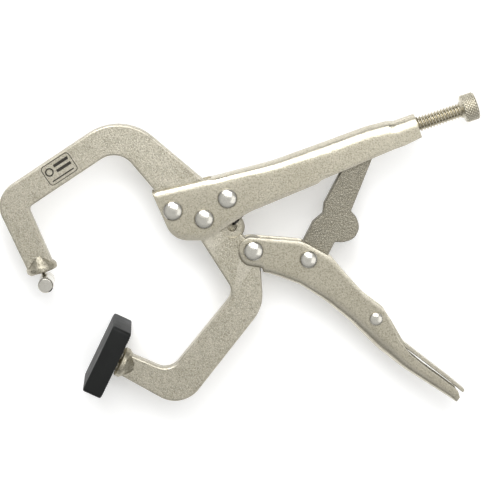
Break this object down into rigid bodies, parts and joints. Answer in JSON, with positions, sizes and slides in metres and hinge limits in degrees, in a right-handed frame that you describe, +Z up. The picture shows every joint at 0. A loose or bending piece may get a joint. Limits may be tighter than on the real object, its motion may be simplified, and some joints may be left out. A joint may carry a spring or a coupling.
{
  "type": "locking c-clamp pliers",
  "caption": "Locking C-clamp pliers: deep bent jaws with a swivel bar foot and a swivel square pad, toggle-linked handles, adjusting screw and release lever.",
  "frame": {"origin": "middle of the footprint, at the bottom of the pad on which the tool lies", "axes": "+X from the jaws to the adjusting knob's end, +Y from the lower handle to the upper one, +Z up through the tool's thickness"},
  "size_m": [0.191, 0.1248, 0.029],
  "materials": {
    "nickel_forging": "satin nickel plate over a grainy forging",
    "nickel_sheet": "satin nickel plate over pressed sheet",
    "link_steel": "dull nickel plate, coarser grain",
    "bright_steel": "bright nickel plate",
    "screw_zinc": "zinc plated machined steel",
    "spring_wire": "oiled dark spring wire",
    "black_pad": "satin black moulded cover"
  },
  "bodies": {
    "upper_handle": {"upper_handle": "nickel_sheet", "fixed_jaw": "nickel_forging", "front_jaw_rivet": "bright_steel", "rear_jaw_rivet": "bright_steel", "main_pivot_rivet": "bright_steel", "upper_socket_ring": "bright_steel", "return_spring": "spring_wire"},
    "lower_jaw": {"lower_jaw": "nickel_forging", "handle_pivot_rivet": "bright_steel", "lower_socket_ring": "bright_steel"},
    "lower_handle": {"lower_handle": "nickel_sheet", "link_rivet": "bright_steel", "lever_rivet": "bright_steel"},
    "toggle_link": {"toggle_link": "link_steel"},
    "release_lever": {"release_lever": "nickel_sheet"},
    "screw": {"adjusting_screw": "screw_zinc"},
    "knob": {"adjusting_knob": "screw_zinc"},
    "upper_stud": {"upper_ball_stud": "bright_steel"},
    "bar_foot": {"bar_foot": "bright_steel"},
    "lower_stud": {"lower_ball_stud": "bright_steel"},
    "pad": {"pad_plate": "screw_zinc", "pad_cover": "black_pad"}
  },
  "joints": [
    {"name": "jaw_close", "type": "hinge", "parent": "upper_handle", "child": "lower_jaw", "pos_m": [-0.01465, 0.01302, 0.0145], "axis": [0, 0, -1], "range_deg": [0, 25], "stiffness_Nm_per_rad": 0.05, "springref_deg": -57.3, "deforming": ["return_spring"]},
    {"name": "handle_close", "type": "hinge", "parent": "lower_jaw", "child": "lower_handle", "pos_m": [0.00495, 0.00002, 0.0145], "axis": [0, 0, 1], "range_deg": [0, 76.5]},
    {"name": "link_swing", "type": "hinge", "parent": "lower_handle", "child": "toggle_link", "pos_m": [0.02695, -0.00358, 0.0145], "axis": [0, 0, -1], "range_deg": [0, 71]},
    {"name": "lever_press", "type": "hinge", "parent": "lower_handle", "child": "release_lever", "pos_m": [0.05419, -0.02797, 0.0145], "axis": [0, 0, -1], "range_deg": [-8, 3]},
    {"name": "screw_travel", "type": "slide", "parent": "upper_handle", "child": "screw", "axis": [0.9494, 0.314, 0], "range_m": [-0.00254, 0.01016]},
    {"name": "screw_turn", "type": "hinge", "parent": "screw", "child": "knob", "pos_m": [0.07778, 0.05201, 0.0145], "axis": [0.9494, 0.314, 0], "range_deg": [-721, 2881]},
    {"name": "upper_swivel_tilt", "type": "hinge", "parent": "upper_handle", "child": "upper_stud", "pos_m": [-0.0797, -0.00549, 0.0145], "axis": [0, 0, 1], "range_deg": [-12, 12]},
    {"name": "bar_spin", "type": "hinge", "parent": "upper_stud", "child": "bar_foot", "pos_m": [-0.07757, -0.01278, 0.0145], "axis": [0.2807, -0.9598, 0], "continuous": true},
    {"name": "lower_swivel_tilt", "type": "hinge", "parent": "lower_jaw", "child": "lower_stud", "pos_m": [-0.04626, -0.04628, 0.0145], "axis": [0, 0, 1], "range_deg": [-12, 12]},
    {"name": "pad_spin", "type": "hinge", "parent": "lower_stud", "child": "pad", "pos_m": [-0.04879, -0.04506, 0.0145], "axis": [-0.9003, 0.4352, 0], "continuous": true}
  ],
  "couplings": [
    {"joint": "handle_close", "follows": "jaw_close", "ratio": 2.901},
    {"joint": "link_swing", "follows": "jaw_close", "ratio": 2.688},
    {"joint": "screw_turn", "follows": "screw_travel", "rad_per_m": 4947.4}
  ]
}
